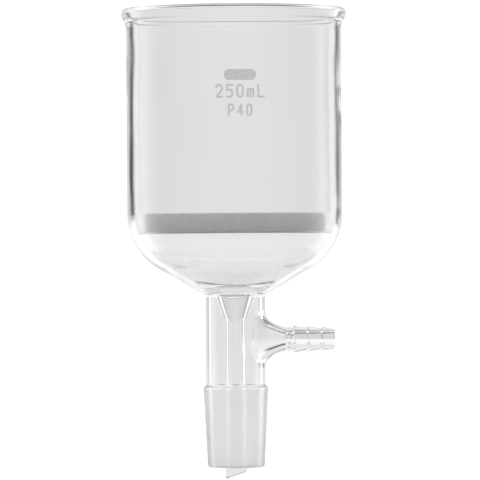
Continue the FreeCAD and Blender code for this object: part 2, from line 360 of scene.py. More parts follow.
@dataclass(frozen=True)
class Unevenness:
    """Slow changes of radius left by blowing and turning a tube by hand.

    The radius changes by depth times the sum of the swells. It fades to nothing at fade_low and
    fade_high, over the height fade, so that the piece still meets its neighbours.
    """

    depth: float
    fade_low: float
    fade_high: float
    fade: float = 6.0
    phase: float = 0.0

    def __call__(self, angle: np.ndarray, z: np.ndarray) -> np.ndarray:
        """The change of radius at each angle and height, in millimetres."""
        window = eased((z - self.fade_low) / self.fade) * eased((self.fade_high - z) / self.fade)
        swell = sum(size * np.sin(lobes * angle + start + sign * self.phase + z / pitch)
                    for size, lobes, start, sign, pitch in (term.value for term in Swell))
        return self.depth * window * swell


# ---------------- finishes


class Nodes:
    """Places and joins shader nodes in one node tree."""

    def __init__(self, tree: bpy.types.NodeTree) -> None:
        """Keeps the tree and empties it."""
        self.tree = tree
        tree.nodes.clear()

    def add(self, kind: str, inputs: Optional[dict] = None, **settings) -> bpy.types.Node:
        """Adds a node.

        Args:
            kind: the node's type name.
            inputs: socket name or number to a constant or to another node's output socket.
            **settings: attributes of the node.

        Returns:
            The node.
        """
        node = self.tree.nodes.new(kind)
        for name, value in settings.items():
            setattr(node, name, value)
        for name, value in (inputs or {}).items():
            if isinstance(value, bpy.types.NodeSocket):
                self.tree.links.new(value, node.inputs[name])
            else:
                node.inputs[name].default_value = value
        return node

    def ramp(self, factor: Socket, stops: Sequence[tuple[float, float]]) -> Socket:
        """A ramp of greys.

        Args:
            factor: the value that is looked up.
            stops: each stop's position and how light it is.

        Returns:
            The ramp's colour socket.
        """
        node = self.add("ShaderNodeValToRGB", {0: factor})
        elements = node.color_ramp.elements
        while len(elements) > 1:
            elements.remove(elements[-1])
        elements[0].position = stops[0][0]
        for number, (position, light) in enumerate(stops):
            element = elements.new(position) if number else elements[0]
            element.color = (light, light, light, 1)
        return node.outputs["Color"]

    def sums(self, operation: str, *values: Value) -> Socket:
        """The result of an arithmetic operation on constants or sockets."""
        return self.add("ShaderNodeMath", dict(enumerate(values)), operation=operation).outputs[0]

    def noise(self, spot: Socket, scale: Value, detail: float, roughness: float = 0.5) -> Socket:
        """Soft noise from 0 to 1 at each spot; scale is in lumps per metre."""
        return self.add("ShaderNodeTexNoise", {"Vector": spot, "Scale": scale, "Detail": detail,
                                               "Roughness": roughness}).outputs[0]

    def blend(self, share: Value, first: Value, second: Value) -> Socket:
        """First where share is 0, second where it is 1."""
        return self.add("ShaderNodeMix", {0: share, 2: first, 3: second}, data_type="FLOAT").outputs[0]

    def bump(self, height: Socket, strength: float, distance: float, invert: bool = False) -> Socket:
        """Normals of a relief whose full height is distance, in metres."""
        return self.add("ShaderNodeBump", {"Height": height, "Strength": strength, "Distance": distance},
                        invert=invert).outputs[0]

    def object_spot(self) -> Socket:
        """Where a point lies on its own object, in metres."""
        return self.add("ShaderNodeTexCoord").outputs["Object"]

    def either(self, share: Value, first: Socket, second: Socket) -> Socket:
        """A mix of two shaders: first where share is 0, second where it is 1."""
        return self.add("ShaderNodeMixShader", {0: share, 1: first, 2: second}).outputs[0]

    def principled(self, inputs: dict) -> Socket:
        """The usual surface shader, from its sockets' names."""
        return self.add("ShaderNodeBsdfPrincipled", inputs).outputs[0]

    def glass(self, tint: Sequence[float], roughness: Socket, relief: Socket) -> Socket:
        """Borosilicate glass with a relief on its surface."""
        return self.principled({"Base Color": (*tint, 1), "Transmission Weight": 1.0, "IOR": BOROSILICATE_IOR,
                                "Roughness": roughness, "Normal": relief})


def ripple_group() -> bpy.types.NodeTree:
    """A node group with the slow ripple, the fine draw lines and the haze of worked glass."""
    found = bpy.data.node_groups.get("glass_ripple")
    if found:
        return found
    tree = bpy.data.node_groups.new("glass_ripple", "ShaderNodeTree")
    nodes = Nodes(tree)
    for name, value in (("Ripple Scale", 60.0), ("Stretch", 0.25), ("Fine Share", 0.2)):
        socket = tree.interface.new_socket(name, in_out="INPUT", socket_type="NodeSocketFloat")
        socket.default_value = value
    for name in ("Height", "Haze"):
        tree.interface.new_socket(name, in_out="OUTPUT", socket_type="NodeSocketFloat")
    finer = 9.0
    given = nodes.add("NodeGroupInput").outputs
    spot = nodes.object_spot()
    parts = nodes.add("ShaderNodeSeparateXYZ", {0: spot}).outputs
    along = nodes.sums("MULTIPLY", parts[2], given["Stretch"])
    drawn = nodes.add("ShaderNodeCombineXYZ", {0: parts[0], 1: parts[1], 2: along}).outputs[0]
    ripple = nodes.noise(drawn, given["Ripple Scale"], detail=1.0)
    fine_scale = nodes.sums("MULTIPLY", given["Ripple Scale"], finer)
    fine = nodes.noise(drawn, fine_scale, detail=2.0)
    height = nodes.sums("MULTIPLY_ADD", fine, given["Fine Share"], ripple)
    haze = nodes.noise(spot, scale=38.0, detail=4.0, roughness=0.65)
    nodes.add("NodeGroupOutput", {"Height": height, "Haze": haze})
    return tree


class Finish(ABC):
    """A procedural material that is made the first time it is asked for."""

    name: str

    @abstractmethod
    def surface(self, nodes: Nodes) -> Socket:
        """Places the finish's nodes and gives the shader of its surface."""

    def material(self) -> bpy.types.Material:
        """The finish as a material, made once."""
        found = bpy.data.materials.get(self.name)
        if found:
            return found
        material = bpy.data.materials.new(self.name)
        material.use_nodes = True
        nodes = Nodes(material.node_tree)
        nodes.add("ShaderNodeOutputMaterial", {"Surface": self.surface(nodes)})
        return material


@dataclass(frozen=True)
class ClearGlass(Finish):
    """Borosilicate glass: clear, faintly rippled, with a trace of handling haze."""

    name: str = "clear_glass_finish"
    tint: tuple[float, float, float] = (0.985, 0.99, 0.99)
    ripple_scale: float = 60.0
    stretch: float = 0.25
    fine_share: float = 0.15
    ripple_depth: float = 0.00002
    haze_low: float = 0.0
    haze_high: float = 0.02

    def surface(self, nodes: Nodes) -> Socket:
        """Clear glass with a rippled skin."""
        ripple = nodes.add("ShaderNodeGroup", node_tree=ripple_group())
        for name, value in (("Ripple Scale", self.ripple_scale), ("Stretch", self.stretch),
                            ("Fine Share", self.fine_share)):
            ripple.inputs[name].default_value = value
        relief = nodes.bump(ripple.outputs["Height"], strength=1.0, distance=self.ripple_depth)
        haze = nodes.ramp(ripple.outputs["Haze"], [(0.45, self.haze_low), (0.75, self.haze_high)])
        return nodes.glass(self.tint, haze, relief)


@dataclass(frozen=True)
class FusedFace(Finish):
    """Where two glass pieces are melted together: no border is left to see inside the glass."""

    name: str = "fused_face_finish"

    def surface(self, nodes: Nodes) -> Socket:
        """Nothing to see."""
        return nodes.principled({"Base Color": (1, 1, 1, 1), "Alpha": 0.0, "Roughness": 0.0})


@dataclass(frozen=True)
class GroundGlass(Finish):
    """Glass ground with fine grit: frosted, with faint rings from the turning stone."""

    name: str = "ground_glass_finish"
    tint: tuple[float, float, float] = (0.995, 0.995, 0.995)
    roughness_low: float = 0.3
    roughness_high: float = 0.38
    grit_scale: float = 5200.0
    ring_scale: float = 1500.0
    ring_share: float = 0.6
    cloud_scale: float = 160.0
    grit_depth: float = 0.00003

    def surface(self, nodes: Nodes) -> Socket:
        """Frosted glass: grit everywhere, and noise that depends on height alone for the rings."""
        spot = nodes.object_spot()
        grit = nodes.noise(spot, self.grit_scale, detail=2.0)
        height = nodes.add("ShaderNodeSeparateXYZ", {0: spot}).outputs[2]
        flat = nodes.add("ShaderNodeCombineXYZ", {2: height}).outputs[0]
        rings = nodes.noise(flat, self.ring_scale, detail=3.0)
        mixed = nodes.sums("MULTIPLY_ADD", rings, self.ring_share, grit)
        relief = nodes.bump(mixed, strength=0.6, distance=self.grit_depth)
        cloud = nodes.noise(spot, self.cloud_scale, detail=3.0)
        rough = nodes.ramp(cloud, [(0.3, self.roughness_low), (0.7, self.roughness_high)])
        return nodes.glass(self.tint, rough, relief)


@dataclass(frozen=True)
class SinteredGlass(Finish):
    """Fused glass grains with open pores: matt and white, with a crumbly surface."""

    name: str = "sintered_glass_finish"
    dark: float = 0.84
    light: float = 0.95
    grain_scale: float = 2600.0
    grain_share: float = -0.35
    grain_depth: float = 0.0002
    clump_scale: float = 420.0
    ior: float = 1.4

    def surface(self, nodes: Nodes) -> Socket:
        """Matt grains in clumps."""
        spot = nodes.object_spot()
        cells = nodes.add("ShaderNodeTexVoronoi", {"Vector": spot, "Scale": self.grain_scale})
        grains = cells.outputs["Distance"]
        clumps = nodes.noise(spot, self.clump_scale, detail=5.0, roughness=0.7)
        speckle = nodes.sums("MULTIPLY_ADD", grains, self.grain_share, clumps)
        colour = nodes.ramp(speckle, [(0.22, self.dark), (0.6, self.light)])
        relief = nodes.bump(grains, strength=0.7, distance=self.grain_depth, invert=True)
        rough = nodes.ramp(clumps, [(0.3, 0.75), (0.7, 0.95)])
        return nodes.principled({"Base Color": colour, "IOR": self.ior, "Roughness": rough, "Normal": relief})


@dataclass(frozen=True)
class Enamel(Finish):
    """Fired print on glass: grey-white, slightly uneven, with pinholes."""

    name: str = "enamel_finish"
    dark: float = 0.58
    light: float = 0.68
    cover_scale: float = 900.0
    depth: float = 0.00005

    def surface(self, nodes: Nodes) -> Socket:
        """One noise drives colour, roughness and relief."""
        cover = nodes.noise(nodes.object_spot(), self.cover_scale, detail=4.0, roughness=0.7)
        colour = nodes.ramp(cover, [(0.3, self.dark), (0.6, self.light)])
        rough = nodes.ramp(cover, [(0.3, 0.42), (0.7, 0.6)])
        relief = nodes.bump(cover, strength=0.4, distance=self.depth)
        return nodes.principled({"Base Color": colour, "Roughness": rough, "Normal": relief})


# What pieces are made of: finishes in the order of the numbers of Face.
FUSED = FusedFace()
CLEAR = (ClearGlass(), FUSED)
FROSTED = (*CLEAR, GroundGlass())
SEAL = (ClearGlass(name="fused_glass_finish", ripple_scale=260.0, stretch=1.0, fine_share=0.3,
                   ripple_depth=0.00001, haze_high=0.04), FUSED)
MARGIN = (ClearGlass(name="fused_margin_finish", ripple_scale=300.0, stretch=1.0, fine_share=0.5,
                     ripple_depth=0.00002, haze_low=0.08, haze_high=0.2),)
GRAINS = (SinteredGlass(),)


def place(node: str, patches: Sequence[Patch], finish: Sequence[Finish] = CLEAR,
          ending: str = "glass") -> None:
    """Makes a piece and puts it on the funnel's body in place of its plain solid.

    Args:
        node: the solid that it stands for, whose name it carries on.
        patches: its surface.
        finish: the finishes, in the order of the numbers of Face.
        ending: the end of the piece's own name.
    """
    piece = solid(f"{node}_{ending}", patches, finish)
    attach(piece, BODY)
    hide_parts(node)
    LOG.info("%s: %d faces", piece.name, len(piece.data.polygons))


# ---------------- levels shared by the pieces


@dataclass(frozen=True)
class Levels:
    """Heights where the glass pieces meet, in millimetres, read from the frame's solids."""

    joint_foot: float
    jacket_foot: float
    jacket_top: float
    stem_top: float
    seal_top: float
    disc_foot: float
    cup_foot: float
    rim_top: float
    arm: float
    neck_end: float
    weld_end: float
    arm_end: float

    @classmethod
    def from_frame(cls) -> "Levels":
        """Reads every level from the boxes of the solids."""
        low = {name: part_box(name)[0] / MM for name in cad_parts}
        high = {name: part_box(name)[1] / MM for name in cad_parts}
        return cls(
            joint_foot=low["ground_joint"].z, jacket_foot=low["vacuum_jacket"].z,
            jacket_top=high["vacuum_jacket"].z, stem_top=high["drip_stem"].z, seal_top=high["ring_seal"].z,
            disc_foot=low["fritted_disc"].z, cup_foot=low["cup_wall"].z, rim_top=high["cup_wall"].z,
            arm=(low["hose_barb"].z + high["hose_barb"].z) / 2, neck_end=high["side_neck"].x,
            weld_end=high["arm_weld"].x, arm_end=high["hose_barb"].x)


LEVELS = Levels.from_frame()


# ---------------- pieces


@dataclass
class Cup:
    """The straight cup with its flared, fire-polished mouth."""

    outer_r: float = CUP_R
    wall: float = CUP_WALL
    rim_r: float = 41.8
    bead: float = 3.4
    flare: float = 6.0
    uneven_outside: float = 0.03
    uneven_inside: float = 0.09
    uneven_fade: float = 14.0
    side_points: int = 70
    flare_points: int = 14
    bead_points: int = 16

    def build(self) -> None:
        """The cup: outside, bead and inside as one outline, and its foot fused to the bowl."""
        foot, top = LEVELS.cup_foot + GAP, LEVELS.rim_top
        inner_r = self.outer_r - self.wall
        bead_z = top - self.bead / 2
        flare_z = bead_z - self.flare
        crown = (self.rim_r - self.bead / 2, top)
        rim_in = self.rim_r - self.bead
        outside = straight((self.outer_r, foot), (self.outer_r, flare_z), self.side_points)
        mouth = joined(reverse_curve((self.outer_r, flare_z), (self.rim_r, bead_z), self.flare_points),
                       arc_from_vertical((self.rim_r, bead_z), crown, self.bead_points),
                       arc_from_vertical((rim_in, bead_z), crown, self.bead_points)[::-1],
                       reverse_curve((inner_r, flare_z), (rim_in, bead_z), self.flare_points)[::-1])
        inside = straight((inner_r, flare_z), (inner_r, foot), self.side_points)
        waves = {0: Unevenness(self.uneven_outside, foot, flare_z, self.uneven_fade),
                 2: Unevenness(self.uneven_inside, foot, flare_z, self.uneven_fade, phase=1.7)}
        runs = skin(outside, mouth, inside) + [fused(inside[-1], outside[0])]
        place("cup_wall", ring(runs, AROUND_CUP, waves))


@dataclass
class Bowl:
    """The rounded shoulder and cone under the cup."""

    outer_r: float = CUP_R
    wall: float = CUP_WALL
    shoulder_r: float = 24.0
    slope: float = math.radians(30.0)
    seal_r: float = 11.6
    tooled: float = 5.2
    ring_pitch: float = 1.3
    ring_depth: float = 0.075
    gather: float = 0.45
    uneven_outside: float = 0.05
    uneven_inside: float = 0.07
    even_foot: float = 2.0
    shoulder_points: int = 44
    cone_points: int = 14
    tooled_points: int = 56

    def side(self, offset: float) -> Profile:
        """Shoulder and cone, inside the outer surface by offset, from the cup down to the ring seal."""
        radius = self.shoulder_r - offset
        centre_r = self.outer_r - self.shoulder_r
        top = (self.outer_r - offset, LEVELS.cup_foot)
        knee = (centre_r + radius * math.sin(self.slope), LEVELS.cup_foot - radius * math.cos(self.slope))
        foot_r = self.seal_r - offset * math.sin(self.slope)
        foot = (foot_r, knee[1] - (knee[0] - foot_r) * math.tan(self.slope))
        near = (foot_r + self.tooled, foot[1] + self.tooled * math.tan(self.slope))
        return joined(arc_from_vertical(top, knee, self.shoulder_points),
                      straight(knee, near, self.cone_points), straight(near, foot, self.tooled_points))

    def tooling_rings(self, line: Profile) -> Profile:
        """The foot of the cone as the tool leaves it: the wall swells over the seal and has faint rings.

        The swelling is gather sin^2 over the tooled stretch. The rings are a sine that fades upwards.
        """
        ringed = line.copy()
        reach = np.clip(1 - (line[:, 0] - line[-1, 0]) / self.tooled, 0, 1)
        wave = np.sin(2 * math.pi * (line[:, 0] - line[-1, 0]) / self.ring_pitch)
        ringed[:, 1] += self.ring_depth * reach * wave + self.gather * np.sin(math.pi * reach) ** 2
        return ringed

    def build(self) -> None:
        """The bowl: both sides of the wall, with fused rims at the cup and at the ring seal."""
        outside, inside = self.side(0.0), self.tooling_rings(self.side(self.wall))
        low, high = LEVELS.seal_top + self.even_foot, LEVELS.cup_foot
        waves = {0: Unevenness(self.uneven_outside, low, high, phase=0.4),
                 2: Unevenness(self.uneven_inside, low, high, phase=1.9)}
        runs = [*skin(outside), fused(outside[-1], inside[-1]), *skin(inside[::-1]),
                fused(inside[0], outside[0])]
        place("lower_bowl", ring(runs, waves=waves))


@dataclass
class Disc:
    """The porous disc and the clear fused margin that holds it in the glass."""

    radius: float = 33.4
    edge_round: float = 0.5
    clearance: float = 0.03
    web: float = 0.5
    collar: float = 0.3
    face_points: int = 40
    edge_points: int = 8
    round_points: int = 6
    collar_points: int = 24
    web_points: tuple[int, int, int] = (8, 4, 10)

    def porous(self) -> None:
        """The disc: flat faces and a slightly rounded edge."""
        low, high, e = LEVELS.disc_foot, LEVELS.cup_foot, self.edge_round
        flat_r = self.radius - e
        rim = joined(arc_from_vertical((self.radius, low + e), (flat_r, low), self.round_points)[::-1],
                     straight((self.radius, low + e), (self.radius, high - e), self.edge_points),
                     arc_from_vertical((self.radius, high - e), (flat_r, high), self.round_points))
        under = straight((0, low), (flat_r, low), self.face_points)
        over = straight((flat_r, high), (0, high), self.face_points)
        place("fritted_disc", ring(skin(under, rim, over)), GRAINS, "grains")

    def margin(self) -> None:
        """The margin: a thin collar up the wall and a thin web from it to the porous disc."""
        low, high = LEVELS.disc_foot, LEVELS.cup_foot - self.clearance
        bowl = Bowl()
        wall = bowl.side(bowl.wall)[::-1]

        def along_wall(start: float, end: float, inset: float) -> Profile:
            """The bowl's inside between two heights, moved towards the axis by inset."""
            z = np.linspace(start, end, self.collar_points)
            return np.stack([np.interp(z, wall[:, 1], wall[:, 0]) - inset, z], axis=1)

        web_top, inner_r = low + self.web, self.radius + self.clearance
        outer = along_wall(low, high, self.clearance)
        inner = along_wall(high, web_top, self.clearance + self.collar)
        top, edge, foot = self.web_points
        runs = skin(outer, straight(outer[-1], inner[0], FLAT_POINTS), inner,
                    straight(inner[-1], (inner_r, web_top), top),
                    straight((inner_r, web_top), (inner_r, low), edge),
                    straight((inner_r, low), outer[0], foot))
        place("disc_edge_seal", ring(runs), MARGIN)


@dataclass
class RingSeal:
    """The fused ring that joins bowl, jacket and stem."""

    fillet_points: int = 24
    funnel_points: int = 14
    roof_points: int = 20

    def build(self) -> None:
        """The ring: outside fillet, inner funnel surface and the roof over the jacket's gap."""
        bowl = Bowl()
        outer, inner = bowl.side(0.0)[-1], bowl.side(bowl.wall)[-1]
        jacket, bore = ((r, LEVELS.jacket_top + GAP) for r in (JACKET_R, JACKET_BORE_R))
        stem, stem_bore = ((r, LEVELS.stem_top + GAP) for r in (STEM_TOP_R, STEM_BORE_TOP_R))
        runs = [*skin(arc_from_vertical(jacket, outer, self.fillet_points)), fused(outer, inner),
                *skin(straight(inner, stem_bore, self.funnel_points)), fused(stem_bore, stem),
                *skin(arc_from_vertical(bore, stem, self.roof_points)[::-1]), fused(bore, jacket)]
        place("ring_seal", ring(runs), SEAL)


@dataclass
class DripStem:
    """The inner tube, flared at the top and cut on a slant at the tip."""

    outer_r: float = 4.0
    wall: float = 1.15
    cone_length: float = 9.5
    blend: float = 0.6
    tip_slant: float = math.radians(18.0)
    slant_reach: float = 12.0
    tip_round: float = 0.35
    tube_points: int = 60
    blend_points: int = 12
    cone_points: int = 16
    lip_points: int = 6

    def side(self, radius: float, top_r: float) -> Profile:
        """Straight tube and cone with an eased bend between them, from the tip to the top."""
        knee = LEVELS.stem_top - self.cone_length
        tube = straight((radius, 0.0), (radius, knee - self.blend), self.tube_points)
        lean = (top_r - radius) / self.cone_length
        share = np.linspace(0, 1, self.blend_points)
        bend = np.stack([radius + lean * self.blend * share ** 2,
                         knee - self.blend + 2 * self.blend * share], axis=1)
        cone = straight(bend[-1], (top_r, LEVELS.stem_top), self.cone_points)
        return joined(tube, bend, cone)

    def build(self) -> None:
        """The stem. Each ring of points near the tip is tipped by the slant, so the tip is cut at an angle."""
        bore_r, e = self.outer_r - self.wall, self.tip_round
        outside, inside = self.side(self.outer_r, STEM_TOP_R), self.side(bore_r, STEM_BORE_TOP_R)
        lip_out = arc_from_vertical((self.outer_r, e), (self.outer_r - e, 0.0), self.lip_points)
        lip_in = arc_from_vertical((bore_r, e), (bore_r + e, 0.0), self.lip_points)[::-1]
        outside[0, 1] = inside[0, 1] = e
        tip = joined(lip_out, straight(lip_out[-1], lip_in[0], FLAT_POINTS), lip_in)
        runs = [*skin(tip, inside), fused(inside[-1], outside[-1]), *skin(outside[::-1])]
        patches = ring(runs, AROUND_SMALL)
        for patch in patches:
            x, z = patch.grid[..., 0], patch.grid[..., 2]
            share = np.clip(1 - z / self.slant_reach, 0, 1)
            patch.grid[..., 2] = z + share * (x + self.outer_r) * math.tan(self.tip_slant)
        place("drip_stem", patches)


@dataclass
class GroundJoint:
    """The frosted male cone and its clear shoulder."""

    large_r: float = 12.0
    length: float = 29.0
    taper: float = 0.05
    wall: float = 1.8
    end_round: float = 1.1
    bore_round: float = 0.4
    shoulder: float = 1.8
    shoulder_edge: float = 0.25
    ground_points: int = 60
    bore_points: int = 40
    heel_points: int = 10
    shoulder_points: int = 8
    round_points: int = 6

    def build(self) -> None:
        """The joint: a ground outside, and a clear bore, foot and shoulder."""
        foot, top = LEVELS.joint_foot, LEVELS.jacket_foot - GAP
        ground_top = LEVELS.jacket_foot - self.shoulder
        small_r = self.large_r - self.length * self.taper
        bore_foot, e, b = small_r - self.wall, self.end_round, self.bore_round
        heel = arc_from_vertical((small_r + e * self.taper, foot + e), (small_r - e, foot),
                                 self.heel_points)[::-1]
        shoulder = reverse_curve((self.large_r, ground_top + self.shoulder_edge), (JACKET_R, top),
                                 self.shoulder_points)
        clear = joined(straight((JACKET_BORE_R, top), (bore_foot, foot + b), self.bore_points),
                       arc_from_vertical((bore_foot, foot + b), (bore_foot + b, foot), self.round_points),
                       straight((bore_foot + b, foot), heel[0], FLAT_POINTS))
        ground = straight(heel[-1], (self.large_r, ground_top), self.ground_points)
        edge = straight(ground[-1], shoulder[0], FLAT_POINTS)
        runs = [*skin(clear), (heel, Face.GROUND), (ground, Face.GROUND), *skin(joined(edge, shoulder)),
                fused(shoulder[-1], clear[0])]
        place("ground_joint", ring(runs, AROUND_SMALL), FROSTED)


@dataclass
class Jacket:
    """The outer tube round the stem, with the hole that the side neck grows out of.

    Each wall surface is a grid that runs from the hole's edge out to the border of the unrolled tube. A
    point of the unrolled tube at angle a and height z stands at x = R cos(a), y = R sin(a).
    """

    outer_r: float = JACKET_R
    bore_r: float = JACKET_BORE_R
    hole_outer: float = 11.0
    hole_inner: float = 9.9
    edge_columns: int = 128
    side_columns: int = 44
    rows: int = 40

    def border(self) -> tuple[np.ndarray, np.ndarray]:
        """Angle and height, from the arm's axis, of every column's end on the border of the unrolled tube."""
        low, high = LEVELS.jacket_foot - LEVELS.arm, LEVELS.jacket_top - LEVELS.arm
        across = np.linspace(-math.pi, math.pi, self.edge_columns, endpoint=False)
        up = np.linspace(low, high, self.side_columns, endpoint=False)
        angle = np.concatenate([across, np.full(len(up), math.pi), -across, np.full(len(up), -math.pi)])
        height = np.concatenate([np.full(len(across), low), up, np.full(len(across), high), high + low - up])
        return angle, height

    def directions(self) -> np.ndarray:
        """The direction, seen along the arm, in which each column leaves the hole."""
        angle, height = self.border()
        return np.arctan2(height, angle * self.outer_r)

    def wall(self, radius: float, hole: float) -> Patch:
        """One wall surface, from the hole's edge to the tube's ends and its back seam."""
        angle, height = self.border()
        facing = self.directions()
        share = np.linspace(0, 1, self.rows)[:, None]
        a = (1 - share) * (hole * np.cos(facing) / radius) + share * angle
        v = (1 - share) * (hole * np.sin(facing)) + share * height
        grid = np.stack([radius * np.cos(a), radius * np.sin(a), LEVELS.arm + v], axis=2)
        outward = np.stack([np.cos(a), np.sin(a), np.zeros_like(a)], axis=2)
        return Patch(grid, known=outward)

    def build(self) -> None:
        """The tube with its hole: both surfaces, the fused ends and the fused edge of the hole."""
        outer, inner = self.wall(self.outer_r, self.hole_outer), self.wall(self.bore_r, self.hole_inner)
        ends = np.ones(outer.grid.shape[1], bool)
        top_from = self.edge_columns + self.side_columns
        ends[self.edge_columns:top_from] = False
        ends[top_from + self.edge_columns:] = False
        strip = Patch(np.stack([outer.grid[-1], inner.grid[-1]]), Face.FUSED, keep=ends)
        edge = Patch(np.stack([inner.grid[0], outer.grid[0]]), Face.FUSED)
        inner = Patch(inner.grid[::-1], known=inner.known[::-1])
        place("vacuum_jacket", [outer, strip, inner, edge])


@dataclass
class SideArm:
    """The neck that is drawn out of the jacket, the weld behind it and the barbed hose end."""

    end_r: float = 4.2
    bore_r: float = 2.6
    bend: float = 0.9
    rise: float = 2.5
    wrap: float = 0.85
    neck_rows: int = 48
    weld_bulge: float = 0.28
    weld_narrowing: float = 0.35
    weld_points: int = 17
    barbs: int = 3
    crest_r: float = 5.0
    crest_step: float = 0.28
    taper: float = 0.85
    ramp: float = 0.5
    crest_round: float = 0.22
    lip: float = 0.45
    lip_points: int = 8
    bore_points: int = 40

    def outline(self) -> np.ndarray:
        """The neck's outside, from its end to its root: radius about the arm and height over the jacket.

        With s from 0 at the end to 1 at the root, the radius is end_r + (hole - end_r) s^(1 / bend) and the
        height is (neck's length) (1 - s)^rise, so the neck leaves the jacket without an edge.
        """
        jacket = Jacket()
        s = np.linspace(0, 1, self.neck_rows)
        rho = self.end_r + (jacket.hole_outer - GAP - self.end_r) * s ** (1 / self.bend)
        height = (LEVELS.neck_end - jacket.outer_r) * (1 - s) ** self.rise
        return np.stack([rho, height], axis=1)

    def lining(self) -> np.ndarray:
        """The neck's inside: the outside moved inwards by the wall, with its height over the jacket's bore."""
        jacket, outline = Jacket(), self.outline()
        s = np.linspace(0, 1, len(outline))
        run = np.gradient(outline, axis=0)
        run[0], run[-1] = (0, -1), (1, 0)
        inwards = np.stack([run[:, 1], -run[:, 0]], axis=1) / np.linalg.norm(run, axis=1)[:, None]
        end_wall, root_wall = self.end_r - self.bore_r, jacket.outer_r - jacket.bore_r
        moved = outline + inwards * (end_wall + (root_wall - end_wall) * s)[:, None]
        moved[:, 0] -= (jacket.hole_outer - jacket.hole_inner) * s ** 2
        moved[:, 1] += root_wall
        return moved

    def horn(self, radius: float, line: np.ndarray) -> Patch:
        """A trumpet from the neck's end down to a surface of the jacket.

        The section eases from a plain circle at the end to one wrapped on the jacket at the root.

        Args:
            radius: of the jacket's surface that the trumpet grows out of.
            line: radius about the arm and height over that surface, from the end to the root.

        Returns:
            The surface, from the neck's end to its root.
        """
        facing = Jacket().directions()[None, :]
        s = np.linspace(0, 1, len(line))[:, None]
        rho, height = line[:, :1], line[:, 1:]
        ease = eased((1 - s) / self.wrap)
        across = rho * np.cos(facing)
        y = (1 - ease) * radius * np.sin(across / radius) + ease * across
        x = np.sqrt(np.maximum(radius ** 2 - y ** 2, 0))
        x = x + height + (radius - x) * ease
        z = LEVELS.arm + rho * np.sin(facing)
        return Patch(np.stack([x, y, z], axis=2))

    def neck(self) -> None:
        """The neck: trumpet outside and inside, fused to the jacket and to the weld."""
        jacket = Jacket()
        outer, inner = self.horn(jacket.outer_r, self.outline()), self.horn(jacket.bore_r, self.lining())
        root = Patch(np.stack([outer.grid[-1], inner.grid[-1]]), Face.FUSED)
        inner = Patch(inner.grid[::-1])
        end = Patch(np.stack([inner.grid[-1], outer.grid[0]]), Face.FUSED)
        place("side_neck", [outer, root, inner, end])

    def weld(self) -> None:
        """The weld: a low bead outside and a slight narrowing inside, fused at both ends."""
        start, end = LEVELS.neck_end + GAP, LEVELS.weld_end - GAP
        share = np.linspace(0, 1, self.weld_points)
        hump = np.sin(math.pi * share) ** 2
        x = start + (end - start) * share
        outer = np.stack([x, self.end_r + self.weld_bulge * hump], axis=1)
        inner = np.stack([x, self.bore_r - self.weld_narrowing * hump], axis=1)[::-1]
        runs = [*skin(outer), fused(outer[-1], inner[0]), *skin(inner), fused(inner[-1], outer[0])]
        place("arm_weld", ring_about_arm(runs), SEAL)

    def barb(self) -> None:
        """The hose end: rounded crests that fall away towards the tip, and a fire-polished mouth."""
        root, start, end = LEVELS.weld_end, LEVELS.weld_end + GAP, LEVELS.arm_end
        pitch = (end - root) / self.barbs
        corners = [(start, self.end_r)]
        for i in range(self.barbs):
            crest = self.crest_r - i * self.crest_step
            corners.append((root + i * pitch + self.ramp, crest))
            corners.append((root + (i + 1) * pitch, crest - self.taper))
        slope = self.taper / (pitch - self.ramp)
        face = end - self.lip
        corners[-1] = (face, corners[-1][1] + slope * self.lip)
        outline = rounded(corners, self.crest_round)
        mouth_r = outline[-1][1]
        mouth = arc_along_arm((face, mouth_r), (end, mouth_r - self.lip), self.lip_points)
        hole = arc_along_arm((face, self.bore_r), (end, self.bore_r + self.lip), self.lip_points)[::-1]
        bore = straight((face, self.bore_r), (start, self.bore_r), self.bore_points)
        rim = straight(mouth[-1], hole[0], FLAT_POINTS)
        runs = [*skin(joined(outline, mouth, rim, hole, bore)), fused(bore[-1], outline[0])]
        place("hose_barb", ring_about_arm(runs))


@dataclass
class Marks:
    """The printed marks on the cup: they keep the frame's own solids and take an enamel finish."""

    nodes: tuple[str, ...] = ("blank_patch", "capacity_mark", "grade_mark")

    def build(self) -> None:
        """Gives each mark its enamel."""
        enamel = Enamel().material()
        for name in self.nodes:
            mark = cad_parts[name]
            mark.data.materials.clear()
            mark.data.materials.append(enamel)


# ---------------- studio


class Panel(Enum):
    """What stands in each direction, as seen from above: degrees from the backdrop's middle, and light."""

    LEFT = ((-180, 0.72), (-112, 0.68), (-97, 0.68), (-84, 0.75), (-76, 1.05), (-66, 1.1), (-60, 1.35),
            (-54, 1.5), (-48, 1.4), (-43, 1.0), (-38, 0.45), (-35, 0.06), (-29, 0.03), (-26, 0.22), (-21, 0.66))
    PAPER = ((-10, 0.66), (0, 0.78), (10, 0.66))
    RIGHT = ((20, 0.55), (23, 0.3), (26, 0.03), (30, 0.06), (33, 0.5), (38, 1.15), (48, 1.35), (54, 1.44),
             (61, 1.15), (67, 1.0), (73, 1.06), (84, 0.68), (110, 0.68), (180, 0.72))


